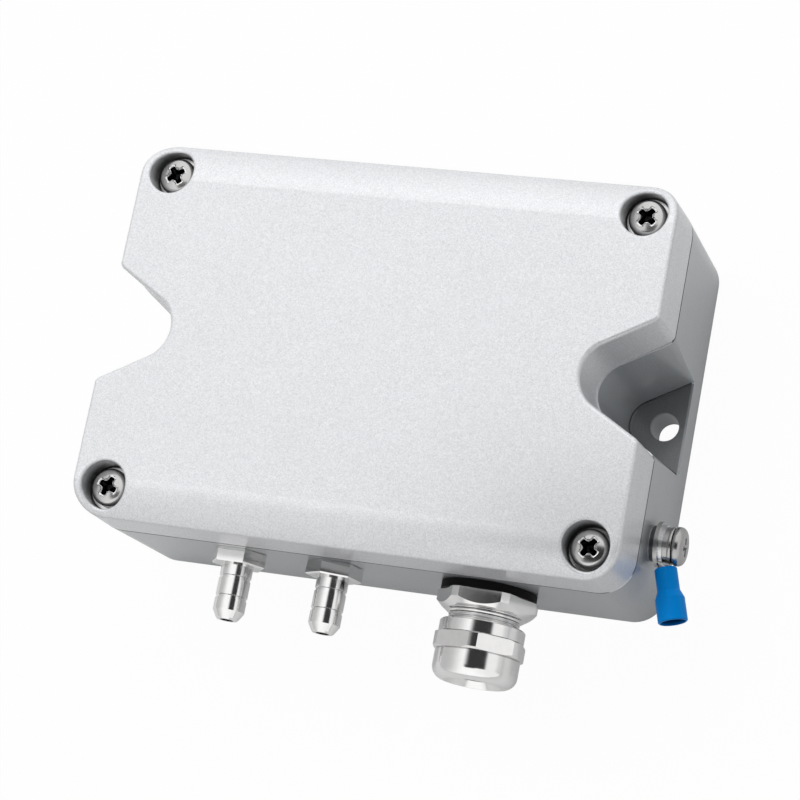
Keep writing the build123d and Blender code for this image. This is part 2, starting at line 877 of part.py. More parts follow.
# Terminal block with screws from above and clamps inside
pole_xs = [block_x + (n - (block_poles - 1) / 2) * block_pitch for n in range(block_poles)]
mouth_z = deck_z + block_mouth_low
block_top = deck_z + block_h
screw_foot = block_top - block_screw_d
with BuildPart() as block:
    with BuildSketch(Plane.YZ.offset(block_x - block_w / 2)):
        with BuildLine():
            Polyline(
                (block_y - block_dy / 2, deck_z),
                (block_y + block_dy / 2, deck_z),
                (block_y + block_dy / 2, block_top - block_back_step),
                (block_y + block_dy / 2 - block_top_in, block_top),
                (block_y - block_dy / 2 + block_top_in / 2, block_top),
                (block_y - block_dy / 2, block_top - block_front_step),
                close=True,
            )
        make_face()
    extrude(amount=block_w)
    with Locations(*[(x, block_y, block_top) for x in pole_xs]):
        Hole(block_well_r, depth=block_h - block_mouth_low - block_mouth_h / 2)
    with BuildSketch(Plane(origin=(0, block_y - block_dy / 2, 0), x_dir=(1, 0, 0), z_dir=(0, -1, 0))):
        with Locations(*[(x, mouth_z + block_mouth_h / 2) for x in pole_xs]):
            Rectangle(block_mouth_w, block_mouth_h)
    extrude(amount=-block_dy + block_front_step, mode=Mode.SUBTRACT)
with BuildPart() as block_screw:
    with BuildSketch():
        Circle(block_screw_r)
    extrude(amount=block_screw_l)
    with BuildSketch(Plane.XY.offset(block_screw_l)):
        Rectangle(block_screw_r * 3, block_slot_w, rotation=block_slot_turn)
    extrude(amount=-block_slot_d, mode=Mode.SUBTRACT)
with BuildPart() as clamp:
    with BuildSketch(Plane.XZ):
        Rectangle(clamp_w, clamp_t + clamp_lip, align=(Align.CENTER, Align.MAX))
        with Locations((0, -clamp_t)):
            Rectangle(
                clamp_w - 2 * clamp_t, clamp_lip, align=(Align.CENTER, Align.MAX), mode=Mode.SUBTRACT
            )
    extrude(amount=clamp_l)

# Zero-setting push button
with BuildPart() as switch:
    with BuildSketch(Plane.XY.offset(deck_z)):
        with Locations((switch_x, switch_y)):
            RectangleRounded(switch_w, switch_w, 0.5)
    extrude(amount=switch_h)
    with Locations((switch_x, switch_y, deck_z + switch_h)):
        Hole(button_r + button_gap, depth=button_sink + button_room)
with BuildPart() as button:
    with BuildSketch(Plane.XY.offset(deck_z + switch_h - button_sink)):
        with Locations((switch_x, switch_y)):
            Circle(button_r)
    extrude(amount=button_sink + button_h)
    chamfer(button.edges().group_by(Axis.Z)[-1], small_cut)

# Chips, capacitors and resistors on the board
chip_foot = deck_z + chip_lift
with BuildPart() as chip:
    with BuildSketch(Plane.XY.offset(chip_foot)):
        with Locations((chip_x, chip_y)):
            Rectangle(chip_w, chip_l)
    extrude(amount=chip_h)
    chamfer(chip.edges().group_by(Axis.Z)[-1], chip_edge)
with BuildPart() as leg:
    with BuildSketch(Plane.XZ.offset(-leg_w / 2)):
        with BuildLine():
            Polyline(
                (0, leg_top),
                (leg_out * 0.44, leg_top),
                (leg_out * 0.56, leg_t),
                (leg_out, leg_t),
                (leg_out, 0),
                (leg_out * 0.44, 0),
                (leg_out * 0.31, leg_top - leg_t),
                (0, leg_top - leg_t),
                close=True,
            )
        make_face()
    extrude(amount=leg_w)
leg_spots = [
    Location((chip_x + side * chip_w / 2, chip_y + row * leg_pitch, deck_z), (0, 0, 90 - side * 90))
    for side in (1, -1)
    for row in [n - (legs_a_side - 1) / 2 for n in range(legs_a_side)]
]
with BuildPart() as capacitor:
    with BuildSketch():
        Circle(cap_r)
    extrude(amount=cap_h)
    fillet(capacitor.edges().group_by(Axis.Z)[-1], cap_edge_r)
with BuildPart() as small_chip:
    Box(small_l, small_w, small_h, align=(Align.CENTER, Align.CENTER, Align.MIN))
    chamfer(small_chip.edges().group_by(Axis.Z)[-1], small_edge)
with BuildPart() as resistor:
    Box(res_l, res_w, res_h, align=(Align.CENTER, Align.CENTER, Align.MIN))
cap_spots = [(x, cap_y, deck_z) for x in cap_xs]
small_spots = [(x, y, deck_z) for x in small_xs for y in small_ys]
res_spots = [(x, y, deck_z) for x in res_xs for y in res_ys]

parts = {
    "base_housing": base.part,
    "lid": lid.part,
    "lid_gasket": gasket.part,
    "port_nut_high": port_nuts[0],
    "port_nut_low": port_nuts[1],
    "port_seal_high": port_seals[0],
    "port_seal_low": port_seals[1],
    "pressure_port_high": ports[0],
    "pressure_port_low": ports[1],
    "gland_gasket": gland_ring,
    "gland_body": placed(gland_body.part, gland_face),
    "gland_locknut": placed(locknut.part, wall_plane(gland_x, gland_z, -wall - locknut_h)),
    "gland_clamp_insert": placed(cage.part, cage_spot),
    "gland_seal": placed(rubber, cage_spot),
    "gland_dome_nut": placed(dome_nut.part, wall_plane(gland_x, gland_z, gland_seal_t + gland_hex_h)),
    "ground_flat_washer": placed(ring(earth_washer_r, m4_clear_r, earth_washer_t), side_plane()),
    "ring_terminal": lug.part,
    "ground_spring_washer": placed(spring_washer.part, side_plane(spring_out)),
    "ground_screw": placed(
        cross_screw(m4_r, earth_screw_l + head_out - earth_spare, head_r, head_h, earth_cross_turn),
        side_plane(head_out),
    ),
    "terminal_sleeve": placed(sleeve_turning, crimp_plane),
    "circuit_board": board.part,
    "board_screws": repeated(board_screw, board_screw_spots),
    "sensor_body": sensor.part,
    "sensor_pins": repeated(pin.part, pin_rows),
    "sensing_tube_high": sensing_tube(port_xs[0], stub_xs[0]),
    "sensing_tube_low": sensing_tube(port_xs[1], stub_xs[1]),
    "terminal_block": block.part,
    "zero_switch_body": switch.part,
    "zero_button": button.part,
    "signal_chip": chip.part,
    "chip_legs": repeated(leg.part, leg_spots),
    "capacitors": repeated(capacitor.part, cap_spots),
    "small_chips": repeated(small_chip.part, small_spots),
    "resistors": repeated(resistor.part, res_spots),
}
for number, spot in enumerate(screw_spots(seat_z), 1):
    x, y, z = spot
    parts[f"lid_washer_{number}"] = placed(ring(washer_r, m4_clear_r, washer_t), spot)
    parts[f"lid_screw_{number}"] = placed(
        cross_screw(m4_r, lid_screw_l, head_r, head_h, lid_cross_turns[number - 1]),
        (x, y, z + washer_t),
    )
for number, x in enumerate(pole_xs, 1):
    parts[f"terminal_screw_{number}"] = placed(block_screw.part, (x, block_y, screw_foot))
    clamp_spot = (x, block_y + clamp_l / 2 - clamp_back, screw_foot)
    parts[f"terminal_clamp_{number}"] = placed(clamp.part, clamp_spot)

os.makedirs("parts", exist_ok=True)
for name, part in parts.items():
    part.label = name
    export_step(part, f"parts/{name}.step")
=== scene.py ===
"""Finishes, studio and camera of the differential pressure transmitter, in metres."""
import logging
import math
from dataclasses import dataclass
from enum import Enum
from typing import Callable, Dict, List, Optional, Sequence, Tuple, Union

import bpy
from mathutils import Matrix, Vector


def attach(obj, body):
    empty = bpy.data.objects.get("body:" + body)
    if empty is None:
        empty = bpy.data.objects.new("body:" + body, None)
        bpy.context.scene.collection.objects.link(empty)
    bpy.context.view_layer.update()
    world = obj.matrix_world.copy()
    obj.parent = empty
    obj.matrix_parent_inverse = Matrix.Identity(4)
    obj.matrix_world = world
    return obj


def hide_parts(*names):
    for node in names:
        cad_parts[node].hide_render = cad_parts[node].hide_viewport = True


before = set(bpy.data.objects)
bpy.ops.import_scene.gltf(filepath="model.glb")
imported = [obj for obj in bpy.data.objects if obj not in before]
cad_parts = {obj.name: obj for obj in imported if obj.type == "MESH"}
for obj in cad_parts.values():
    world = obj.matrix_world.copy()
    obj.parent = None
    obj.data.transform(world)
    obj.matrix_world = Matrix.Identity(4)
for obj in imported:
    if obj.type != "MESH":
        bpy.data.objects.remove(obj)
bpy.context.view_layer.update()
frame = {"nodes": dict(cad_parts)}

log = logging.getLogger("transmitter")

Colour = Tuple[float, float, float]
Point = Tuple[float, float, float]
Value = Union["Sock", float, Sequence[float]]

MM = 0.001
BLACK = (0.0, 0.0, 0.0, 1.0)
WHITE = (1.0, 1.0, 1.0, 1.0)


class Axis(Enum):
    """A direction of the frame, numbered as in a vector."""

    X = 0
    Y = 1
    Z = 2


class Sock:
    """An output socket whose arithmetic adds Math nodes to its graph."""

    def __init__(self, graph: "Graph", output: bpy.types.NodeSocket) -> None:
        """Wraps one output.

        Args:
            graph: The graph that the output's node belongs to.
            output: The socket itself.
        """
        self.graph = graph
        self.output = output

    def math(self, operation: str, *values: Value) -> "Sock":
        """Adds one Math node.

        Args:
            operation: The node's operation.
            *values: Its operands, in order.

        Returns:
            The node's result.
        """
        return self.graph.node("ShaderNodeMath", {"operation": operation}, dict(enumerate(values)))

    def __add__(self, other: Value) -> "Sock":
        """self + other."""
        return self.math("ADD", self, other)

    def __radd__(self, other: Value) -> "Sock":
        """other + self."""
        return self.math("ADD", other, self)

    def __sub__(self, other: Value) -> "Sock":
        """self - other."""
        return self.math("SUBTRACT", self, other)

    def __rsub__(self, other: Value) -> "Sock":
        """other - self."""
        return self.math("SUBTRACT", other, self)

    def __mul__(self, other: Value) -> "Sock":
        """self * other."""
        return self.math("MULTIPLY", self, other)

    def __rmul__(self, other: Value) -> "Sock":
        """other * self."""
        return self.math("MULTIPLY", other, self)

    def __truediv__(self, other: Value) -> "Sock":
        """self / other."""
        return self.math("DIVIDE", self, other)

    def __abs__(self) -> "Sock":
        """The value without its sign."""
        return self.math("ABSOLUTE", self)

    def most(self, other: Value) -> "Sock":
        """The larger of the two."""
        return self.math("MAXIMUM", self, other)

    def step(self, low: float, high: float) -> "Sock":
        """A soft step.

        Args:
            low: Where it leaves 0; it may lie above high, which turns the step round.
            high: Where it reaches 1.

        Returns:
            A value from 0 to 1.
        """
        settings = {"interpolation_type": "SMOOTHSTEP"}
        if low > high:
            return 1 - self.graph.node("ShaderNodeMapRange", settings, {0: self, 1: high, 2: low})
        return self.graph.node("ShaderNodeMapRange", settings, {0: self, 1: low, 2: high})


class Graph:
    """The node tree of one material, or of the world."""

    def __init__(self, tree: bpy.types.NodeTree) -> None:
        """Empties the tree.

        Args:
            tree: The node tree to fill.
        """
        self.tree = tree
        tree.nodes.clear()

    def node(
        self,
        kind: str,
        settings: Optional[Dict[str, object]] = None,
        inputs: Optional[Dict[Union[str, int], Value]] = None,
        out: Union[str, int] = 0,
    ) -> Sock:
        """Adds a node.

        Args:
            kind: The node's type.
            settings: Its properties, set before its sockets.
            inputs: Values or links by socket name or number.
            out: The output that is handed back.

        Returns:
            That output.
        """
        made = self.tree.nodes.new(kind)
        for name, value in (settings or {}).items():
            setattr(made, name, value)
        for name, value in (inputs or {}).items():
            if isinstance(value, Sock):
                self.tree.links.new(value.output, made.inputs[name])
            else:
                made.inputs[name].default_value = value
        return Sock(self, made.outputs[out])

    def mix(self, factor: Value, first: Value, second: Value) -> Sock:
        """Mixes two colours.

        Args:
            factor: 0 for the first, 1 for the second.
            first: A colour with alpha, or a link.
            second: A colour with alpha, or a link.

        Returns:
            The mixed colour.
        """
        return self.node("ShaderNodeMix", {"data_type": "RGBA"}, {0: factor, 6: first, 7: second}, 2)

    def place(self) -> Sock:
        """The point on the piece, in metres."""
        return self.node("ShaderNodeTexCoord", out="Object")

    def parts(self, vector: Sock) -> Tuple[Sock, Sock, Sock]:
        """A vector's x, y and z."""
        split = self.node("ShaderNodeSeparateXYZ", inputs={0: vector})
        return tuple(Sock(self, out) for out in split.output.node.outputs)

    def noise(self, where: Sock, size: float, detail: float = 2.0) -> Sock:
        """Cloudy noise.

        Args:
            where: The coordinates.
            size: The size of a patch, in metres.
            detail: The finer octaves on top.

        Returns:
            A value round 0.5.
        """
        return self.node("ShaderNodeTexNoise", inputs={"Vector": where, "Scale": 1 / size, "Detail": detail})

    def grain(self, where: Sock, size: float) -> Sock:
        """A separate value from 0 to 1 for each small cell.

        Args:
            where: The coordinates.
            size: The size of a cell, in metres.

        Returns:
            The cell's value.
        """
        cells = self.node("ShaderNodeTexVoronoi", inputs={"Vector": where, "Scale": 1 / size}, out="Color")
        return self.parts(cells)[0]

    def bump(self, height: Sock, depth: float, normal: Optional[Sock] = None) -> Sock:
        """A bumped normal.

        Args:
            height: The height, from 0 to 1.
            depth: What a height of 1 stands for, in metres.
            normal: The normal to start from.

        Returns:
            The new normal.
        """
        inputs: Dict[Union[str, int], Value] = {"Height": height, "Distance": depth, "Strength": 1.0}
        if normal is not None:
            inputs["Normal"] = normal
        return self.node("ShaderNodeBump", inputs=inputs)

    def surface(self, inputs: Dict[Union[str, int], Value]) -> None:
        """Ends a material with one principled surface.

        Args:
            inputs: The surface's sockets.
        """
        shader = self.node("ShaderNodeBsdfPrincipled", inputs=inputs)
        self.end(shader)

    def end(self, shader: Sock, kind: str = "ShaderNodeOutputMaterial") -> None:
        """Joins the shader to the tree's output.

        Args:
            shader: The finished shader.
            kind: The type of the output node.
        """
        last = self.tree.nodes.new(kind)
        self.tree.links.new(shader.output, last.inputs["Surface"])


def rgba(colour: Colour) -> Tuple[float, float, float, float]:
    """The colour with full alpha."""
    return (*colour, 1.0)


def shade(colour: Colour, factor: float) -> Tuple[float, float, float, float]:
    """The colour, lighter or darker, with full alpha."""
    return rgba(tuple(min(1.0, channel * factor) for channel in colour))


@dataclass(frozen=True)
class Finish:
    """A surface finish, which makes its own material."""

    name: str
    colour: Colour
    roughness: float = 0.4

    def build(self) -> bpy.types.Material:
        """Makes the finish's material.

        Returns:
            The material, named after the finish.
        """
        material = bpy.data.materials.new(self.name)
        material.use_nodes = True
        graph = Graph(material.node_tree)
        graph.surface(self.sockets(graph))
        return material

    def sockets(self, graph: Graph) -> Dict[Union[str, int], Value]:
        """The surface's sockets.

        Args:
            graph: The material's graph.

        Returns:
            Values and links by socket name.
        """
        return {"Base Color": rgba(self.colour), "Roughness": self.roughness}


@dataclass(frozen=True)
class Wells:
    """Four round sunk seats, placed alike in the four corners, whose walls lie in shade."""

    place: Tuple[float, float]
    radius: float
    rim: float
    floor: float
    depth: float = 0.75
    edge: Tuple[float, float] = (0.25 * MM, 0.05 * MM)

    def shade(self, graph: Graph, where: Sock) -> Sock:
        """How dark a point lies.

        Args:
            graph: The material's graph.
            where: The point on the piece.

        Returns:
            0 in the open, up to the depth at a well's floor.
        """
        x, y, z = graph.parts(where)
        across = abs(x) - self.place[0]
        along = abs(y) - self.place[1]
        distance = across.math("SQRT", across * across + along * along)
        sunk = z.step(self.rim, self.floor)
        inside = distance.step(self.radius + self.edge[0], self.radius + self.edge[1])
        return inside * sunk * self.depth


@dataclass(frozen=True)
class Seam:
    """The parting line of the case: a dark gap outside, and a painted highlight along the edge inside the
    notches.
    """

    level: float
    half: float
    outer: Tuple[float, float]
    skin: float = 0.3 * MM
    fade: Tuple[float, float] = (1.6, 0.7)
    gap: Tuple[float, Colour] = (0.85, (0.01, 0.01, 0.01))
    # painted highlight: a light line inside the notches where the edge catches the light
    edge: Tuple[float, Colour] = (0.7, (0.9, 0.9, 0.92))

    def paint(self, graph: Graph, where: Sock, colour: Value) -> Sock:
        """Draws the line into a colour.

        Args:
            graph: The material's graph.
            where: The point on the piece.
            colour: The colour without the line.

        Returns:
            The colour with it.
        """
        x, y, z = graph.parts(where)
        line = abs(z - self.level).step(self.half * self.fade[0], self.half * self.fade[1])
        end, side = self.outer
        outside = abs(x).step(end - self.skin, end).most(abs(y).step(side - self.skin, side))
        depth, dark = self.gap
        colour = graph.mix(line * outside * depth, colour, rgba(dark))
        # painted highlight inside the notches
        depth, bright = self.edge
        return graph.mix(line * (1 - outside) * depth, colour, rgba(bright))


@dataclass(frozen=True)
class Shade:
    """Soft shade in one box of the piece, fading out over a run at its sides."""

    low: Point
    high: Point
    run: float
    depth: float

    def mask(self, graph: Graph, where: Sock) -> Sock:
        """How deep in the shade a point lies.

        Args:
            graph: The material's graph.
            where: The point on the piece.

        Returns:
            0 outside the box, the depth inside it.
        """
        x, y, z = graph.parts(where)
        inside = self.depth
        for axis, low, high in zip((x, y, z), self.low, self.high):
            inside = axis.step(low - self.run, low) * axis.step(high + self.run, high) * inside
        return inside


@dataclass(frozen=True)
class Bore:
    """The inside of a round sleeve that leans in the level plane, which lies in shade."""

    mouth: Point
    lean: float
    radius: float
    length: float
    depth: float = 0.7
    wall: Tuple[float, float] = (0.12 * MM, 0.04 * MM)
    ends: Tuple[float, float] = (0.8 * MM, 0.2 * MM)

    def mask(self, graph: Graph, where: Sock) -> Sock:
        """How deep in the shade a point lies.

        Args:
            graph: The material's graph.
            where: The point on the piece.

        Returns:
            0 outside the bore, the depth well inside it.
        """
        x, y, z = (axis - start for axis, start in zip(graph.parts(where), self.mouth))
        sine, cosine = math.sin(math.radians(self.lean)), math.cos(math.radians(self.lean))
        inward = y * cosine - x * sine
        side = x * cosine + y * sine
        distance = side.math("SQRT", side * side + z * z)
        inside = distance.step(self.radius + self.wall[0], self.radius + self.wall[1])
        along = inward.step(0.0, self.ends[0])
        return inside * along * inward.step(self.length, self.length - self.ends[1]) * self.depth


@dataclass(frozen=True)
class Recess:
    """The cross recesses of four alike screws, painted black inside below their domed heads as shade, with a
    painted highlight on their rims.
    """

    place: Tuple[float, float]
    top: float
    dome: float
    radius: float
    rim_top: Tuple[float, float] = (0.012 * MM, 0.03 * MM)
    rim_foot: Tuple[float, float] = (0.42 * MM, 0.3 * MM)
    walls: Tuple[float, float] = (0.3 * MM, 0.45 * MM)

    def masks(self, graph: Graph, where: Sock) -> Tuple[Sock, Sock]:
        """Where the inside of a recess and its rim are, which get painted shade and a painted highlight.

        Args:
            graph: The material's graph.
            where: The point on the piece.

        Returns:
            1 inside the recess, and 1 on its rim.
        """
        x, y, z = graph.parts(where)
        across = abs(x) - self.place[0]
        along = abs(y) - self.place[1]
        square = across * across + along * along
        sunk = self.top - square * (0.5 / self.dome) - z
        near = square.step((self.radius * 1.1) ** 2, self.radius**2)
        rim = sunk.step(*self.rim_top) * sunk.step(*self.rim_foot)
        return sunk.step(*self.walls) * near, rim * near


@dataclass(frozen=True)
class Thread:
    """A fine thread along one axis, between two places on it."""

    axis: Axis
    low: float
    high: float
    pitch: float
    height: float
    run: float = 0.1 * MM

    def wave(self, graph: Graph, where: Sock) -> Sock:
        """The thread's height, from 0 to 1.

        Args:
            graph: The material's graph.
            where: The point on the piece.

        Returns:
            Ridges inside the thread, 0 outside it.
        """
        along = graph.parts(where)[self.axis.value]
        inside = along.step(self.low, self.low + self.run) * along.step(self.high, self.high - self.run)
        ridge = along.math("SINE", along * (2 * math.pi / self.pitch))
        return (ridge * 0.5 + 0.5) * inside


@dataclass(frozen=True)
class Paint(Finish):
    """Metallic lacquer on a casting: fine flakes under a clear coat."""

    metallic: float = 0.5
    flake: float = 0.1
    flake_size: float = 0.13 * MM
    flake_gloss: float = 0.5
    coarse: Tuple[float, float] = (1.9, 0.35)
    cloud: Tuple[float, float] = (14 * MM, 0.1)
    coat: float = 0.3
    coat_roughness: float = 0.12
    specular: float = 0.4
    peel: Tuple[float, float] = (0.9 * MM, 0.004 * MM)
    wells: Optional[Wells] = None
    seam: Optional[Seam] = None
    shades: Tuple[Shade, ...] = ()

    def sockets(self, graph: Graph) -> Dict[Union[str, int], Value]:
        """Flakes in the colour and the roughness, painted shade, the seam line with its painted highlight,
        and a slight orange peel.

        Args:
            graph: The material's graph.

        Returns:
            Values and links by socket name.
        """
        where = graph.place()
        wider, share = self.coarse
        cloud_size, cloud_share = self.cloud
        fine = graph.grain(where, self.flake_size)
        coarse = graph.grain(where, self.flake_size * wider)
        cloud = graph.noise(where, cloud_size)
        glint = fine * (1 - share) + coarse * share + (cloud - 0.5) * cloud_share
        colour = graph.mix(glint, shade(self.colour, 1 - self.flake), shade(self.colour, 1 + self.flake))
        # painted shade: the walls of the four screw wells darkened towards black in the colour
        if self.wells:
            colour = graph.mix(self.wells.shade(graph, where), colour, BLACK)
        # painted shade: each shade box darkens the colour towards black
        for part in self.shades:
            colour = graph.mix(part.mask(graph, where), colour, BLACK)
        if self.seam:
            colour = self.seam.paint(graph, where, colour)
        peel_size, peel_depth = self.peel
        return {
            "Base Color": colour,
            "Metallic": self.metallic,
            "Roughness": (glint - 0.5) * (-self.flake_gloss * self.flake) + self.roughness,
            "Specular IOR Level": self.specular,
            "Coat Weight": self.coat,
            "Coat Roughness": self.coat_roughness,
            "Normal": graph.bump(graph.noise(where, peel_size, 1.0), peel_depth),
        }


@dataclass(frozen=True)
class Metal(Finish):
    """Bare or plated metal with slight unevenness."""

    unevenness: float = 0.06
    wear_size: float = 1.2 * MM
    tones: Tuple[float, float] = (0.94, 1.05)
    grain: Tuple[float, float] = (0.25 * MM, 0.0012 * MM)
    thread: Optional[Thread] = None
    recess: Optional[Recess] = None
    # painted shade: the colour inside the screw recesses
    recess_shade: Colour = (0.012, 0.012, 0.012)
    rim_roughness: float = 0.35
    rim_matt: float = 0.8

    def sockets(self, graph: Graph) -> Dict[Union[str, int], Value]:
        """Polish that varies a little over the piece, and painted shade and highlight in screw recesses.

        Args:
            graph: The material's graph.

        Returns:
            Values and links by socket name.
        """
        where = graph.place()
        wear = graph.noise(where, self.wear_size, 3.0)
        grain_size, grain_depth = self.grain
        normal = graph.bump(graph.noise(where, grain_size, 1.0), grain_depth)
        if self.thread:
            normal = graph.bump(self.thread.wave(graph, where), self.thread.height, normal)
        darker, lighter = self.tones
        colour = graph.mix(wear, shade(self.colour, darker), shade(self.colour, lighter))
        roughness = (wear - 0.5) * self.unevenness + self.roughness
        metallic: Value = 1.0
        # painted shade and highlight: recesses black inside, their rims white, rougher and less metallic
        if self.recess:
            inside, rim = self.recess.masks(graph, where)
            colour = graph.mix(rim, colour, WHITE)
            colour = graph.mix(inside, colour, rgba(self.recess_shade))
            roughness = roughness + rim * self.rim_roughness
            metallic = 1 - rim * self.rim_matt
        return {
            "Base Color": colour,
            "Metallic": metallic,
            "Roughness": roughness,
            "Normal": normal,
        }


@dataclass(frozen=True)
class Moulding(Finish):
    """Rubber or plastic."""

    specular: float = 0.5
    mottle: float = 0.05
    mottle_size: float = 2.5 * MM
    unevenness: float = 0.08
    texture: Tuple[float, float] = (0.2 * MM, 0.004 * MM)
    bore: Optional[Bore] = None

    def sockets(self, graph: Graph) -> Dict[Union[str, int], Value]:
        """A plain colour with a faint mottle and moulded texture, and painted shade inside a bore.

        Args:
            graph: The material's graph.

        Returns:
            Values and links by socket name.
        """
        where = graph.place()
        cloud = graph.noise(where, self.mottle_size)
        texture_size, texture_depth = self.texture
        colour = graph.mix(cloud, shade(self.colour, 1 - self.mottle), shade(self.colour, 1 + self.mottle))
        # painted shade: the inside of the sleeve's bore darkened towards black in the colour
        if self.bore:
            colour = graph.mix(self.bore.mask(graph, where), colour, BLACK)
        return {
            "Base Color": colour,
            "Roughness": (cloud - 0.5) * self.unevenness + self.roughness,
            "Specular IOR Level": self.specular,
            "Normal": graph.bump(graph.noise(where, texture_size, 1.0), texture_depth),
        }


SCREW_PLACE = (50.5 * MM, 33.4 * MM)
SCREW_HEAD_TOP = 43.45 * MM
SCREW_DOME_RADIUS = 8.98 * MM
SLEEVE_BORE = Bore((64.13 * MM, -41.95 * MM, 22.0 * MM), 17.5, 2.5 * MM, 4.4 * MM)
SEAM = Seam(32 * MM, 0.26 * MM, (57.1 * MM, 39.6 * MM))
NECK_THREAD = Thread(Axis.Y, -54.1 * MM, -45.3 * MM, 0.65 * MM, 0.16 * MM)
SCREW_THREAD = Thread(Axis.Z, 20 * MM, 38.6 * MM, 0.7 * MM, 0.2 * MM)
SCREW_WELLS = Wells(SCREW_PLACE, 4.75 * MM, 44.9 * MM, 41.5 * MM)
SCREW_RECESS = Recess(SCREW_PLACE, SCREW_HEAD_TOP, SCREW_DOME_RADIUS, 2.3 * MM)
# painted shade on the base: the notch floor, the foot of the notch walls and the sides of the earth boss
NOTCH_FLOOR_SHADE = Shade((42 * MM, -20 * MM, 8.2 * MM), (56.5 * MM, 20 * MM, 9.3 * MM), 0.3 * MM, 0.45)
NOTCH_FOOT_SHADE = Shade((42 * MM, -20 * MM, 9.06 * MM), (56.6 * MM, 20 * MM, 9.42 * MM), 0.08 * MM, 0.9)
EARTH_BOSS_SHADE = Shade((57.6 * MM, -31 * MM, 18 * MM), (58.5 * MM, -23 * MM, 26 * MM), 0.1 * MM, 0.85)
FINISHES: Tuple[Finish, ...] = (
    Paint(
        "cast_lid",
        (0.79, 0.80, 0.82),
        0.42,
        metallic=0.4,
        flake=0.17,
        specular=0.2,
        coat=0.35,
        wells=SCREW_WELLS,
        seam=SEAM,
    ),
    Paint(
        "cast_base",
        (0.45, 0.47, 0.487),
        0.36,
        metallic=0.35,
        flake=0.1,
        coat=0.45,
        specular=0.2,
        seam=SEAM,
        shades=(NOTCH_FLOOR_SHADE, NOTCH_FOOT_SHADE, EARTH_BOSS_SHADE),
    ),
    Metal("stainless", (0.66, 0.655, 0.65), 0.2),
    Metal("dark_steel", (0.40, 0.395, 0.39), 0.24),
    Metal("nickel_brass", (0.79, 0.785, 0.78), 0.13),
    Metal("threaded_brass", (0.79, 0.785, 0.78), 0.13, thread=NECK_THREAD),
    Metal("threaded_steel", (0.54, 0.535, 0.53), 0.2, thread=SCREW_THREAD, recess=SCREW_RECESS),
    Metal("tinned_metal", (0.62, 0.63, 0.64), 0.28),
    Metal("zinc_steel", (0.68, 0.70, 0.72), 0.26),
    Moulding("black_rubber", (0.004, 0.004, 0.0045), 0.6, specular=0.12),
    Moulding("silicone", (0.72, 0.74, 0.72), 0.42),
    Moulding("cage_plastic", (0.035, 0.035, 0.037), 0.45),
    Moulding("blue_sleeve", (0.0, 0.33, 1.0), 0.38, specular=0.1, bore=SLEEVE_BORE),
    Moulding("board_green", (0.01, 0.12, 0.045), 0.38),
    Moulding("block_green", (0.03, 0.27, 0.08), 0.45),
    Moulding("black_plastic", (0.02, 0.02, 0.021), 0.5),
    Moulding("button_plastic", (0.35, 0.02, 0.015), 0.4),
    Metal("capacitor_can", (0.7, 0.7, 0.7), 0.3),
)
LID_SCREWS = tuple(f"lid_screw_{number}" for number in range(1, 5))
OWN_FINISHES: Dict[str, str] = {
    "gland_body": "threaded_brass",
    "ground_screw": "dark_steel",
    "ground_spring_washer": "dark_steel",
    "ground_flat_washer": "dark_steel",
    **{name: "threaded_steel" for name in LID_SCREWS},
}


def dress(nodes: Dict[str, bpy.types.Object]) -> Dict[str, bpy.types.Material]:
    """Gives every CAD node the finish that its slot names, or its own one.

    Args:
        nodes: The CAD nodes by name.

    Returns:
        The materials by slot name.
    """
    slots = {node: node.data.materials[0].name.split(".")[0] for node in nodes.values()}
    for plain in {node.data.materials[0] for node in nodes.values()}:
        plain.name += "_plain"
    made = {finish.name: finish.build() for finish in FINISHES}
    for node, slot in slots.items():
        node.data.materials[0] = made[OWN_FINISHES.get(node.name, slot)]
    return made


@dataclass(frozen=True)
class Edges:
    """Small rounded edges put on a CAD piece, so that its sharp edges catch the light."""

    names: Tuple[str, ...]
    width: float
    angle: float = 40.0
    joint: float = 0.002 * MM

    def build(self, nodes: Dict[str, bpy.types.Object]) -> None:
        """Adds the rounding to every piece named.

        Args:
            nodes: The CAD nodes by name.
        """
        for name in self.names:
            weld = nodes[name].modifiers.new("joined", "WELD")
            weld.merge_threshold = self.joint
            bevel = nodes[name].modifiers.new("rounded", "BEVEL")
            bevel.width = self.width
            bevel.segments = 2
            bevel.limit_method = "ANGLE"
            bevel.angle_limit = math.radians(self.angle)
            bevel.use_clamp_overlap = False
            nodes[name].modifiers.new("shaded", "WEIGHTED_NORMAL")
            log.info("rounded edges on %s", name)


def clean_start() -> None:
    """Leaves edit mode and deselects every object."""
    if bpy.context.object and bpy.context.object.mode != "OBJECT":
        bpy.ops.object.mode_set(mode="OBJECT")
    bpy.ops.object.select_all(action="DESELECT")


def settle(piece: bpy.types.Object, matrix: Matrix) -> None:
    """Moves a piece to its place and leaves its origin unmoved and unturned.

    Args:
        piece: The piece, modelled at the origin.
        matrix: Its place and turn.
    """
    piece.matrix_world = matrix
    clean_start()
    piece.select_set(True)
    bpy.context.view_layer.objects.active = piece
    bpy.ops.object.transform_apply(location=True, rotation=True, scale=True)


def pick_edges(piece: bpy.types.Object, test: Callable[[List[Vector]], bool]) -> None:
    """Selects edges by a test and enters edit mode.

    Args:
        piece: The piece.
        test: Is given an edge's two points.
    """
    clean_start()
    piece.select_set(True)
    bpy.context.view_layer.objects.active = piece
    bpy.ops.object.mode_set(mode="EDIT")
    bpy.ops.mesh.select_all(action="DESELECT")
    bpy.ops.mesh.select_mode(type="EDGE")
    bpy.ops.object.mode_set(mode="OBJECT")
    points = piece.data.vertices
    for edge in piece.data.edges:
        edge.select = test([points[index].co for index in edge.vertices])
    bpy.ops.object.mode_set(mode="EDIT")


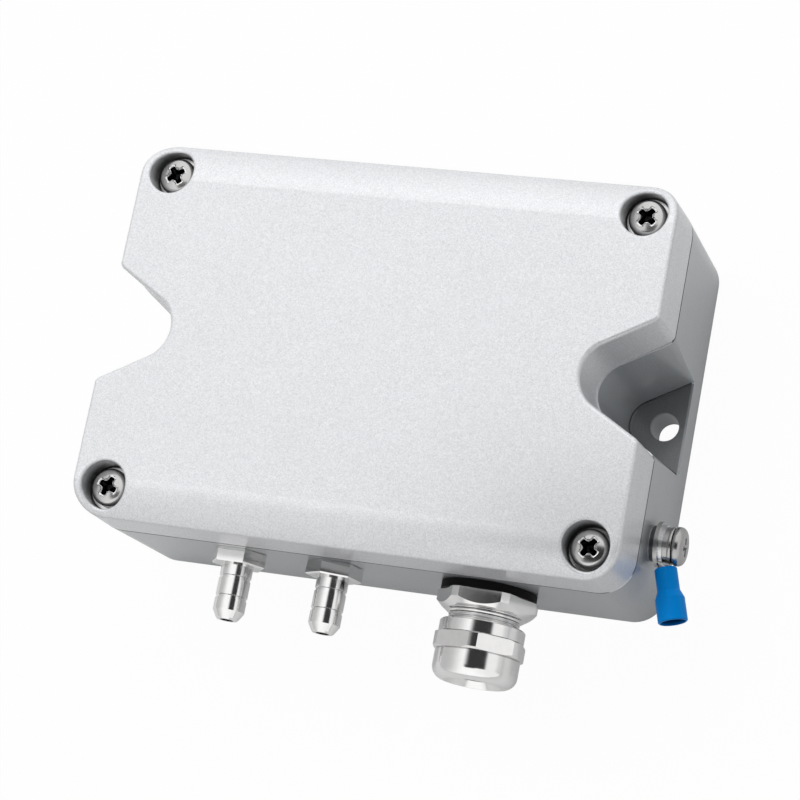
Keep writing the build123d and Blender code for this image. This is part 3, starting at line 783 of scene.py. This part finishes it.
def cut(piece: bpy.types.Object, cutter: bpy.types.Object) -> None:
    """Cuts one piece out of another and drops the cutter.

    Args:
        piece: The piece that is kept.
        cutter: The shape that is taken away.
    """
    clean_start()
    piece.select_set(True)
    bpy.context.view_layer.objects.active = piece
    hole = piece.modifiers.new("hole", "BOOLEAN")
    hole.object = cutter
    hole.solver = "EXACT"
    bpy.ops.object.modifier_apply(modifier=hole.name)
    bpy.data.objects.remove(cutter, do_unlink=True)


@dataclass(frozen=True)
class EarthScrew:
    """The earth terminal's screw: a round pan head on its own captive washer."""

    foot: Point
    turn: float
    length: float
    shank: float = 1.97 * MM
    washer: Tuple[float, float] = (3.75 * MM, 0.75 * MM)
    radius: float = 3.9 * MM
    height: float = 2.9 * MM
    slot: Tuple[float, float, float] = (4.3 * MM, 1.1 * MM, 1.9 * MM)
    slot_taper: float = 0.55
    seat: float = 0.1 * MM
    overlap: float = 0.5 * MM
    head_cuts: Tuple[Tuple[float, int], ...] = ((0.45 * MM, 3), (1.25 * MM, 8))
    washer_cuts: Tuple[Tuple[float, int], ...] = ((0.2 * MM, 2), (0.2 * MM, 2))
    shank_cuts: Tuple[Tuple[float, int], ...] = ((0.4 * MM, 1), (0.0, 1))
    sides: int = 64
    smooth: float = 35.0

    def round_block(
        self, radius: float, low: float, high: float, cuts: Sequence[Tuple[float, int]]
    ) -> bpy.types.Object:
        """A round block with rounded ends.

        Args:
            radius: Its radius.
            low: Its lower end.
            high: Its upper end.
            cuts: For the lower and the upper end, the rounding and its steps.

        Returns:
            The block.
        """
        clean_start()
        bpy.ops.mesh.primitive_cylinder_add(
            vertices=self.sides, radius=radius, depth=high - low, location=(0, 0, (low + high) / 2)
        )
        block = bpy.context.object
        bpy.ops.object.transform_apply(location=True, rotation=False, scale=False)
        for level, (rounding, steps) in zip((low, high), cuts):
            if rounding:
                pick_edges(block, lambda ends, z=level: all(abs(end.z - z) < 1e-6 for end in ends))
                bpy.ops.mesh.bevel(offset=rounding, segments=steps, profile=0.5)
                bpy.ops.object.mode_set(mode="OBJECT")
        return block

    def crossed(self) -> List[bpy.types.Object]:
        """Makes the two tapered bars that are cut into the head.

        Returns:
            The bars, each across the screw's axis.
        """
        span, width, depth = self.slot
        bars = []
        for quarter in (0, 90):
            clean_start()
            bpy.ops.mesh.primitive_cube_add(size=1, location=(0, 0, self.height - depth / 2 + self.overlap))
            bar = bpy.context.object
            bar.scale = (span, width, depth + 2 * self.overlap)
            bar.rotation_euler = (0, 0, math.radians(quarter))
            bpy.ops.object.transform_apply(location=True, rotation=True, scale=True)
            floor = self.height - depth
            clean_start()
            bar.select_set(True)
            bpy.context.view_layer.objects.active = bar
            bpy.ops.object.mode_set(mode="EDIT")
            bpy.ops.mesh.select_all(action="DESELECT")
            bpy.ops.object.mode_set(mode="OBJECT")
            for point in bar.data.vertices:
                point.select = point.co.z < floor + 1e-6
            bpy.ops.object.mode_set(mode="EDIT")
            narrow = (self.slot_taper, self.slot_taper, 1.0)
            bpy.ops.transform.resize(value=narrow, center_override=(0, 0, floor))
            bpy.ops.object.mode_set(mode="OBJECT")
            bars.append(bar)
        return bars

    def build(self, material: bpy.types.Material) -> bpy.types.Object:
        """The screw in place of the CAD one.

        Args:
            material: Its finish.

        Returns:
            The screw.
        """
        wide, thick = self.washer
        head = self.round_block(self.radius, thick + self.seat, self.height, self.head_cuts)
        for bar in self.crossed():
            cut(head, bar)
        ring = self.round_block(wide, 0.0, thick, self.washer_cuts)
        shank = self.round_block(self.shank, -self.length, thick + self.overlap, self.shank_cuts)
        clean_start()
        for part in (ring, shank, head):
            part.select_set(True)
        bpy.context.view_layer.objects.active = head
        bpy.ops.object.join()
        head.name = "earth_screw_rounded"
        clean_start()
        head.select_set(True)
        bpy.ops.object.shade_smooth_by_angle(angle=math.radians(self.smooth))
        about_axis = Matrix.Rotation(math.radians(self.turn), 4, "Z")
        turned = Matrix.Rotation(math.radians(90), 4, "Y") @ about_axis
        settle(head, Matrix.Translation(self.foot) @ turned)
        head.data.materials.append(material)
        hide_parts("ground_screw")
        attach(head, "earth_screw")
        log.info("earth screw")
        return head


@dataclass(frozen=True)
class PortCollar:
    """The outer, chamfered half of a hose port's hexagon."""

    name: str
    place: Point
    turn: float
    across: float = 10.06 * MM
    length: float = 1.3 * MM
    hole: float = 2.9 * MM
    hole_sides: int = 64
    bevel: float = 0.3 * MM

    def build(self, material: bpy.types.Material) -> bpy.types.Object:
        """The collar on its port.

        Args:
            material: Its finish.

        Returns:
            The collar.
        """
        clean_start()
        radius = self.across / 2 / math.cos(math.radians(30))
        bpy.ops.mesh.primitive_cylinder_add(vertices=6, radius=radius, depth=self.length)
        collar = bpy.context.object
        collar.name = self.name
        pick_edges(collar, lambda ends: all(end.z > 0 for end in ends))
        bpy.ops.mesh.bevel(offset=self.bevel, segments=1)
        bpy.ops.object.mode_set(mode="OBJECT")
        bpy.ops.mesh.primitive_cylinder_add(vertices=self.hole_sides, radius=self.hole, depth=self.length * 2)
        cut(collar, bpy.context.object)
        about_axis = Matrix.Rotation(math.radians(self.turn - 30), 4, "Z")
        turned = Matrix.Rotation(math.radians(90), 4, "X") @ about_axis
        settle(collar, Matrix.Translation(self.place) @ turned)
        collar.data.materials.append(material)
        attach(collar, "case")
        log.info("collar %s", self.name)
        return collar


@dataclass(frozen=True)
class Viewpoint:
    """The photograph's camera: place in metres, lens and centre in pixels of its 800 pixel frame.

    The azimuth turns from +Y towards +X, the elevation is downwards, and the roll is about the line of sight,
    all in degrees.
    """

    place: Point = (0.19212, -0.13372, 0.55605)
    azimuth: float = -52.9418
    elevation: float = 66.7184
    roll: float = -44.4053
    focal: float = 2837.8
    centre: Tuple[float, float] = (448.63, 364.79)
    frame: float = 800.0
    sensor: float = 36.0

    def turn(self) -> Matrix:
        """Works out the camera's turn from its angles.

        Returns:
            The turn, with -Z along the line of sight.
        """
        azimuth, elevation = math.radians(self.azimuth), math.radians(self.elevation)
        level = math.cos(elevation)
        ahead = Vector((math.sin(azimuth) * level, math.cos(azimuth) * level, -math.sin(elevation)))
        upright = ahead.to_track_quat("-Z", "Y").to_matrix().to_4x4()
        return upright @ Matrix.Rotation(math.radians(self.roll), 4, "Z")

    def build(self) -> bpy.types.Object:
        """Makes the camera and sets it as the scene's own.

        Returns:
            The camera.
        """
        data = bpy.data.cameras.new("photo_view")
        data.sensor_width = self.sensor
        data.lens = self.focal * self.sensor / self.frame
        data.shift_x = (self.frame / 2 - self.centre[0]) / self.frame
        data.shift_y = (self.centre[1] - self.frame / 2) / self.frame
        data.clip_start = 0.01
        data.clip_end = 50.0
        camera = bpy.data.objects.new("photo_view", data)
        bpy.context.collection.objects.link(camera)
        camera.matrix_world = Matrix.Translation(self.place) @ self.turn()
        bpy.context.scene.camera = camera
        log.info("camera")
        return camera


@dataclass(frozen=True)
class Lamp:
    """A soft rectangular lamp that faces a point."""

    name: str
    place: Point
    size: Tuple[float, float]
    power: float
    aim: Point = (0.0, 0.0, 0.02)

    def build(self) -> bpy.types.Object:
        """Makes the lamp, which reflections don't show.

        Returns:
            The lamp in place.
        """
        data = bpy.data.lights.new(self.name, "AREA")
        data.shape = "RECTANGLE"
        data.size, data.size_y = self.size
        data.energy = self.power
        lamp = bpy.data.objects.new(self.name, data)
        bpy.context.collection.objects.link(lamp)
        lamp.location = self.place
        sight = Vector(self.aim) - Vector(self.place)
        lamp.rotation_euler = sight.to_track_quat("-Z", "Y").to_euler()
        lamp.visible_glossy = False
        log.info("lamp %s", self.name)
        return lamp


@dataclass(frozen=True)
class Card:
    """A black card close above the object that only reflections show."""

    name: str
    low: Point
    high: Point
    fade: Tuple[float, float, float] = (32 * MM, 30 * MM, 12 * MM)
    level: float = 0.045

    def face(self) -> bpy.types.Material:
        """Makes the card's black face, which fades out at its edges.

        Returns:
            The face's material.
        """
        material = bpy.data.materials.new(self.name)
        material.use_nodes = True
        graph = Graph(material.node_tree)
        x, y, _ = graph.parts(graph.place())
        near, far, side = self.fade
        fade = x.step(self.low[0], self.low[0] + near) * x.step(self.high[0], self.high[0] - far)
        fade = fade * y.step(self.low[1], self.low[1] + side) * y.step(self.high[1], self.high[1] - side)
        matt = {"Base Color": BLACK, "Roughness": 1.0, "Specular IOR Level": 0.0}
        glow = {"Emission Color": rgba((self.level,) * 3), "Emission Strength": 1.0}
        graph.surface({**matt, **glow, "Alpha": fade})
        return material

    def build(self) -> bpy.types.Object:
        """Makes the card, hidden from all but reflections.

        Returns:
            The card in place.
        """
        middle = [(a + b) / 2 for a, b in zip(self.low, self.high)]
        bpy.ops.mesh.primitive_plane_add(size=1, location=middle)
        card = bpy.context.object
        card.name = self.name
        card.scale = (self.high[0] - self.low[0], self.high[1] - self.low[1], 1)
        bpy.ops.object.transform_apply(location=True, rotation=False, scale=True)
        card.data.materials.append(self.face())
        card.visible_camera = card.visible_diffuse = card.visible_shadow = card.visible_transmission = False
        log.info("card %s", self.name)
        return card


@dataclass(frozen=True)
class Patch:
    """A dark gap in the tent, as a rectangle of directions seen from the object."""

    across: Tuple[float, float]
    along: Tuple[float, float]
    soft: float
    depth: float

    def mask(self, x: Sock, y: Sock) -> Sock:
        """Where the gap is.

        Args:
            x: The direction's x over its z.
            y: The direction's y over its z.

        Returns:
            The gap's darkness, 0 outside it.
        """
        left, right = self.across
        low, high = self.along
        wide = x.step(left - self.soft, left + self.soft) * x.step(right + self.soft, right - self.soft)
        tall = y.step(low - self.soft, low + self.soft) * y.step(high + self.soft, high - self.soft)
        return wide * tall * self.depth


@dataclass(frozen=True)
class Studio:
    """A white tent with a dark gap and a near card, a pale floor and soft lamps."""

    fill: float = 0.22
    floor_size: float = 12.0
    floor_grey: float = 0.85
    floor_glow: float = 0.97
    mirrored_glow: float = 0.3
    dim: float = 0.6
    left: Tuple[float, float, float] = (-0.95, -0.25, 0.62)
    right: Tuple[float, float, float] = (0.0, 0.8, 0.17)
    far_right: Tuple[float, float, float] = (0.92, 1.0, 0.35)
    horizon: Tuple[float, float] = (0.02, 0.05)
    floor_gap: float = 0.4 * MM
    lamps: Tuple[Lamp, ...] = (
        Lamp("key", (-0.40, 0.50, 1.07), (1.3, 0.9), 12.5),
        Lamp("overhead", (-0.35, -0.12, 1.2), (0.5, 0.12), 0.5),
    )
    patch: Patch = Patch((-0.22, 0.3), (-0.38, 0.0), 0.04, 0.88)
    card: Card = Card("near_card", (-0.011, -0.09, 0.13), (0.140, 0.002, 0.13))

    def build(self) -> None:
        """Makes the world, the floor, the card and the lamps."""
        self.sky()
        self.floor()
        self.card.build()
        for lamp in self.lamps:
            lamp.build()

    def seen(self, graph: Graph) -> Sock:
        """Tells rays that are seen from rays that light.

        Args:
            graph: The graph of the material or the world.

        Returns:
            1 for what the camera, a reflection or glass sees.
        """
        camera = graph.node("ShaderNodeLightPath", out="Is Camera Ray")
        glossy = graph.node("ShaderNodeLightPath", out="Is Glossy Ray")
        through = graph.node("ShaderNodeLightPath", out="Is Transmission Ray")
        return camera.most(glossy).most(through)

    def sky(self) -> None:
        """White for what is seen, a brighter side in reflections, and a plain fill for the rest."""
        world = bpy.data.worlds.new("tent")
        world.use_nodes = True
        bpy.context.scene.world = world
        graph = Graph(world.node_tree)
        x, y, z = graph.parts(graph.node("ShaderNodeTexCoord", out="Generated"))
        above = z.step(*self.horizon)
        steep = z.most(self.horizon[0])
        dark = self.patch.mask(x / steep, y / steep)
        rise, right, far_right = (
            x.step(low, high) * share for low, high, share in (self.left, self.right, self.far_right)
        )
        tent = rise - right - far_right + self.dim
        glossy = graph.node("ShaderNodeLightPath", out="Is Glossy Ray")
        level = self.seen(graph) * (1 - self.fill) + self.fill
        mirrored = tent * (1 - dark * above)
        strength = level * (1 - glossy) + mirrored * glossy
        light = graph.node("ShaderNodeBackground", inputs={"Color": WHITE, "Strength": strength})
        graph.end(light, "ShaderNodeOutputWorld")
        log.info("tent")

    def floor(self) -> None:
        """A white floor that keeps a part of the shadow."""
        material = bpy.data.materials.new("studio_floor")
        material.use_nodes = True
        graph = Graph(material.node_tree)
        matt = graph.node("ShaderNodeBsdfDiffuse", inputs={"Color": rgba((self.floor_grey,) * 3)})
        glow = graph.node("ShaderNodeEmission", inputs={"Strength": 1.0})
        glossy = graph.node("ShaderNodeLightPath", out="Is Glossy Ray")
        factor = self.seen(graph) * (1 - glossy) * self.floor_glow + glossy * self.mirrored_glow
        graph.end(graph.node("ShaderNodeMixShader", inputs={0: factor, 1: matt, 2: glow}))
        bpy.ops.mesh.primitive_plane_add(size=self.floor_size, location=(0, 0, -self.floor_gap))
        plane = bpy.context.object
        plane.name = "studio_floor"
        plane.data.materials.append(material)
        log.info("floor")


SCREW_EDGES = Edges(LID_SCREWS, 0.24 * MM)
EARTH_SCREW = EarthScrew((61.2 * MM, -26.9 * MM, 22 * MM), 20.0, 11.6 * MM)
COLLARS: Tuple[PortCollar, ...] = (
    PortCollar("port_collar_high", (-26.9 * MM, -42.2 * MM, 24.5 * MM), 0.0),
    PortCollar("port_collar_low", (-6.0 * MM, -42.2 * MM, 24.5 * MM), 40.0),
)


def main() -> None:
    """Dresses the frame, lights it and sets the camera."""
    logging.basicConfig(level=logging.INFO, format="%(name)s: %(message)s")
    bpy.context.scene.view_settings.view_transform = "Standard"
    bpy.ops.object.select_all(action="DESELECT")
    made = dress(frame["nodes"])
    log.info("%d finishes on %d nodes", len(made), len(frame["nodes"]))
    SCREW_EDGES.build(frame["nodes"])
    for collar in COLLARS:
        collar.build(made["nickel_brass"])
    EARTH_SCREW.build(made["dark_steel"])
    Studio().build()
    Viewpoint().build()


if __name__ == "__main__":
    main()
